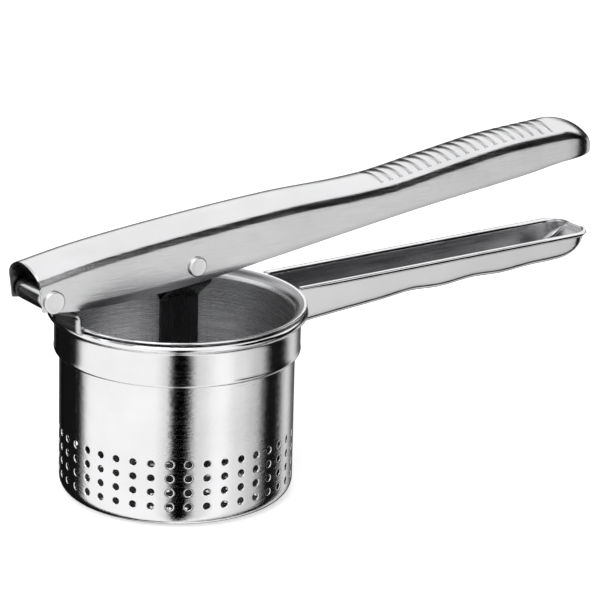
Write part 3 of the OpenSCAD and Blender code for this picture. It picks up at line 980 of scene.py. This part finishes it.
def make_world():
    """White studio with soft dark cards, which the polished steel reflects."""
    world = bpy.data.worlds.new("studio")
    bpy.context.scene.world = world
    world.use_nodes = True
    nodes, links = world.node_tree.nodes, world.node_tree.links
    nodes.clear()

    def math_node(operation, a, b=None):
        node = nodes.new("ShaderNodeMath")
        node.operation = operation
        for socket, value in zip(node.inputs, (a, b)):
            if value is None:
                continue
            if isinstance(value, (int, float)):
                socket.default_value = value
            else:
                links.new(value, socket)
        return node.outputs[0]

    def step(value, low, high):
        node = nodes.new("ShaderNodeMapRange")
        node.interpolation_type = "SMOOTHSTEP"
        node.inputs["From Min"].default_value = low
        node.inputs["From Max"].default_value = high
        links.new(value, node.inputs["Value"])
        return node.outputs["Result"]

    coords = nodes.new("ShaderNodeTexCoord")
    split = nodes.new("ShaderNodeSeparateXYZ")
    links.new(coords.outputs["Generated"], split.inputs[0])
    x, y, z = split.outputs
    front = (math.sin(VIEW_AZIMUTH), -math.cos(VIEW_AZIMUTH))
    side = (math.cos(VIEW_AZIMUTH), math.sin(VIEW_AZIMUTH))
    ahead = math_node("ADD", math_node("MULTIPLY", x, front[0]), math_node("MULTIPLY", y, front[1]))
    across = math_node("ADD", math_node("MULTIPLY", x, side[0]), math_node("MULTIPLY", y, side[1]))
    azimuth = math_node("DEGREES", math_node("ARCTAN2", across, ahead))
    elevation = math_node("DEGREES", math_node("ARCSINE", z))

    def card(az0, az1, el0, el1, soft0, soft1, soft_el, angle=azimuth):
        """Soft-edged patch of the sky, in degrees from the camera's side and above the horizon."""
        a = math_node("MULTIPLY", step(angle, az0 - soft0, az0 + soft0),
                      step(angle, az1 + soft1, az1 - soft1))
        e = math_node("MULTIPLY", step(elevation, el0 - soft_el, el0 + soft_el),
                      step(elevation, el1 + soft_el, el1 - soft_el))
        return math_node("MULTIPLY", a, e)

    cards = [
        (card(-4, 17, -90, 14, 3, 4, 5), 1.0),          # strip below the lens
        (card(-12, 34, -90, 14, 8, 10, 6), 0.25),       # its soft surround
        (card(92, 128, -90, 14, 5, 8, 6), 0.99),        # tall flag on the right
        (card(76, 150, -90, 14, 8, 14, 6), 0.3),        # its soft surround
        (card(58, 112, -8, 48, 5, 6, 4), 0.995),        # wide flag above it
        (card(56, 90, -80, -8, 6, 6, 5), 0.22),         # grey card under that
        (card(-158, -101, -90, 19, 5, 6, 6), 0.99),     # flag behind, on the left
        (card(-172, -98, -90, 12, 8, 12, 8), 0.3),      # its soft surround
        (card(-155, -40, 44, 84, 14, 14, 8), 0.75),     # grey card overhead, on the left
        (card(116, 170, -4, 23, 8, 8, 5), 0.95),        # flag behind, on the right
        (card(148, 190, -50, 9, 10, 10, 5, math_node("ABSOLUTE", azimuth)), 0.9),   # dark far end
    ]
    total = None
    for shape, strength in cards:
        keep = math_node("SUBTRACT", 1.0, math_node("MULTIPLY", shape, strength))
        total = keep if total is None else math_node("MULTIPLY", total, keep)
    background = nodes.new("ShaderNodeBackground")
    links.new(math_node("MULTIPLY", total, SKY_STRENGTH), background.inputs["Strength"])
    background.inputs["Color"].default_value = (1, 1, 1, 1)
    out = nodes.new("ShaderNodeOutputWorld")
    links.new(background.outputs[0], out.inputs[0])


def make_light(name, location, size, power):
    """Square soft light that faces the part."""
    data = bpy.data.lights.new(name, "AREA")
    data.shape = "SQUARE"
    data.size = size
    data.energy = power
    light = bpy.data.objects.new(name, data)
    bpy.context.scene.collection.objects.link(light)
    light.location = location
    light.rotation_mode = "QUATERNION"
    light.rotation_quaternion = (Vector(location) - AIM).to_track_quat("Z", "Y")


# ---------------------------------------------------------------- assembly
make_camera()
make_floor()
make_world()
make_light("key_softbox", (-0.7, -0.5, 1.4), 0.9, 6)
bpy.context.scene.view_settings.view_transform = "Standard"

M = make_materials()
finish_piece(make_basket(), "frame", "basket",
             [M["basket"], M["basket_inside"], M["lip"]], basket_side)
finish_piece(make_ring(), "frame", "holder_ring", [M["ring"]])
finish_piece(make_trough(), "frame", "lower_handle",
             [M["trough"], M["trough_painted_shade"]], trough_side)
finish_piece(make_bracket(), "frame", "hinge_bracket",
             [M["bracket"], M["channel_painted_shade"]], bracket_side)
finish_piece(make_lever(), "lever", "upper_handle",
             [M["lever"], M["channel_painted_shade"]], lever_side)
finish_piece(make_rivet("ricer_hinge_rivet", HINGE_X, HINGE_Z, 2.5, 4.05),
             "lever", "hinge_rivet", [M["rivet"]])
finish_piece(make_rivet("ricer_plunger_rivet", PLUNGER_X, PLUNGER_Z, 2.2, 3.65),
             "lever", "plunger_rivet", [M["rivet"]])
finish_piece(make_spacer(), "plunger", "stem_spacer", [M["rivet"]])
finish_piece(make_strap("ricer_plunger_stem_left", 1),
             "plunger", "plunger_stem_left", [M["plunger"]])
finish_piece(make_strap("ricer_plunger_stem_right", -1),
             "plunger", "plunger_stem_right", [M["plunger"]])
finish_piece(make_plate(), "plunger", "pusher_plate", [M["plate"]])
